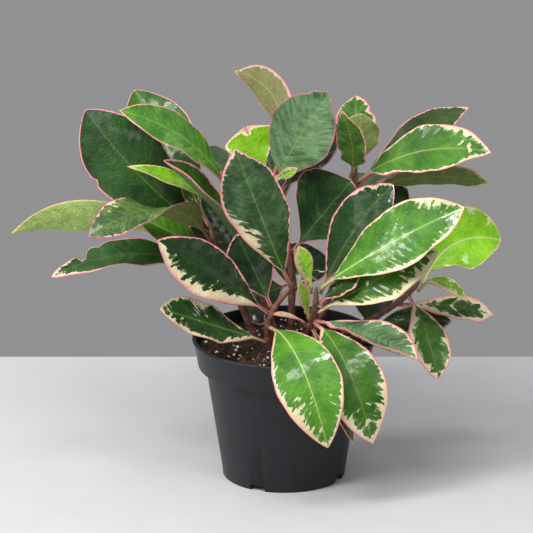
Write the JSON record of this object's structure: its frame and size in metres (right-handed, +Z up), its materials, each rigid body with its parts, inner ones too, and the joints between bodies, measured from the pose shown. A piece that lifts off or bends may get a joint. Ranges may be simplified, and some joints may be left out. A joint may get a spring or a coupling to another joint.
{
  "type": "potted peperomia",
  "caption": "Bushy foliage plant with thick oval variegated leaves on short fleshy stems, rooted in soil in a round flared nursery pot with a deep rim band.",
  "frame": {"origin": "centre of the pot's foot, on the surface it stands on", "axes": "+Z up the pot's axis, -Y towards the front of the plant, +X to its right"},
  "size_m": [0.406, 0.2628, 0.329],
  "materials": {
    "pot": "satin",
    "soil": "matte",
    "stem": "satin",
    "leaf_dark": "gloss",
    "leaf_bright": "gloss",
    "leaf_lime": "gloss",
    "leaf_olive": "satin"
  },
  "bodies": {
    "root": {"pot": "pot", "soil": "soil", "stem_left": "stem", "leaf_left_1": "leaf_olive", "leaf_left_2": "leaf_dark", "leaf_left_3": "leaf_olive", "leaf_left_4": "leaf_bright", "leaf_left_5": "leaf_bright", "leaf_left_6": "leaf_dark", "leaf_left_7": "leaf_dark", "stem_high_left": "stem", "leaf_high_left_1": "leaf_bright", "leaf_high_left_2": "leaf_lime", "leaf_high_left_3": "leaf_bright", "leaf_high_left_4": "leaf_dark", "leaf_high_left_5": "leaf_dark", "stem_front": "stem", "leaf_front_1": "leaf_dark", "leaf_front_2": "leaf_dark", "leaf_front_3": "leaf_dark", "leaf_front_4": "leaf_dark", "leaf_front_5": "leaf_bright", "stem_top": "stem", "leaf_top_1": "leaf_dark", "leaf_top_2": "leaf_lime", "leaf_top_3": "leaf_olive", "leaf_top_4": "leaf_dark", "leaf_top_5": "leaf_dark", "leaf_top_6": "leaf_lime", "leaf_top_7": "leaf_dark", "leaf_top_8": "leaf_dark", "leaf_top_9": "leaf_dark", "stem_high_right": "stem", "leaf_high_right_1": "leaf_bright", "leaf_high_right_2": "leaf_olive", "leaf_high_right_3": "leaf_olive", "leaf_high_right_4": "leaf_bright", "leaf_high_right_5": "leaf_olive", "leaf_high_right_6": "leaf_olive", "leaf_high_right_7": "leaf_dark", "leaf_high_right_8": "leaf_bright", "leaf_high_right_9": "leaf_dark", "stem_centre": "stem", "leaf_centre_1": "leaf_bright", "leaf_centre_2": "leaf_dark", "leaf_centre_3": "leaf_bright", "leaf_centre_4": "leaf_dark", "leaf_centre_5": "leaf_dark", "leaf_centre_6": "leaf_bright", "leaf_centre_7": "leaf_dark", "leaf_centre_8": "leaf_lime", "leaf_centre_9": "leaf_lime", "leaf_centre_10": "leaf_lime", "leaf_centre_11": "leaf_lime", "stem_right": "stem", "leaf_right_1": "leaf_lime", "leaf_right_2": "leaf_lime", "leaf_right_3": "leaf_bright", "leaf_right_4": "leaf_bright", "leaf_right_5": "leaf_dark"}
  },
  "joints": []
}
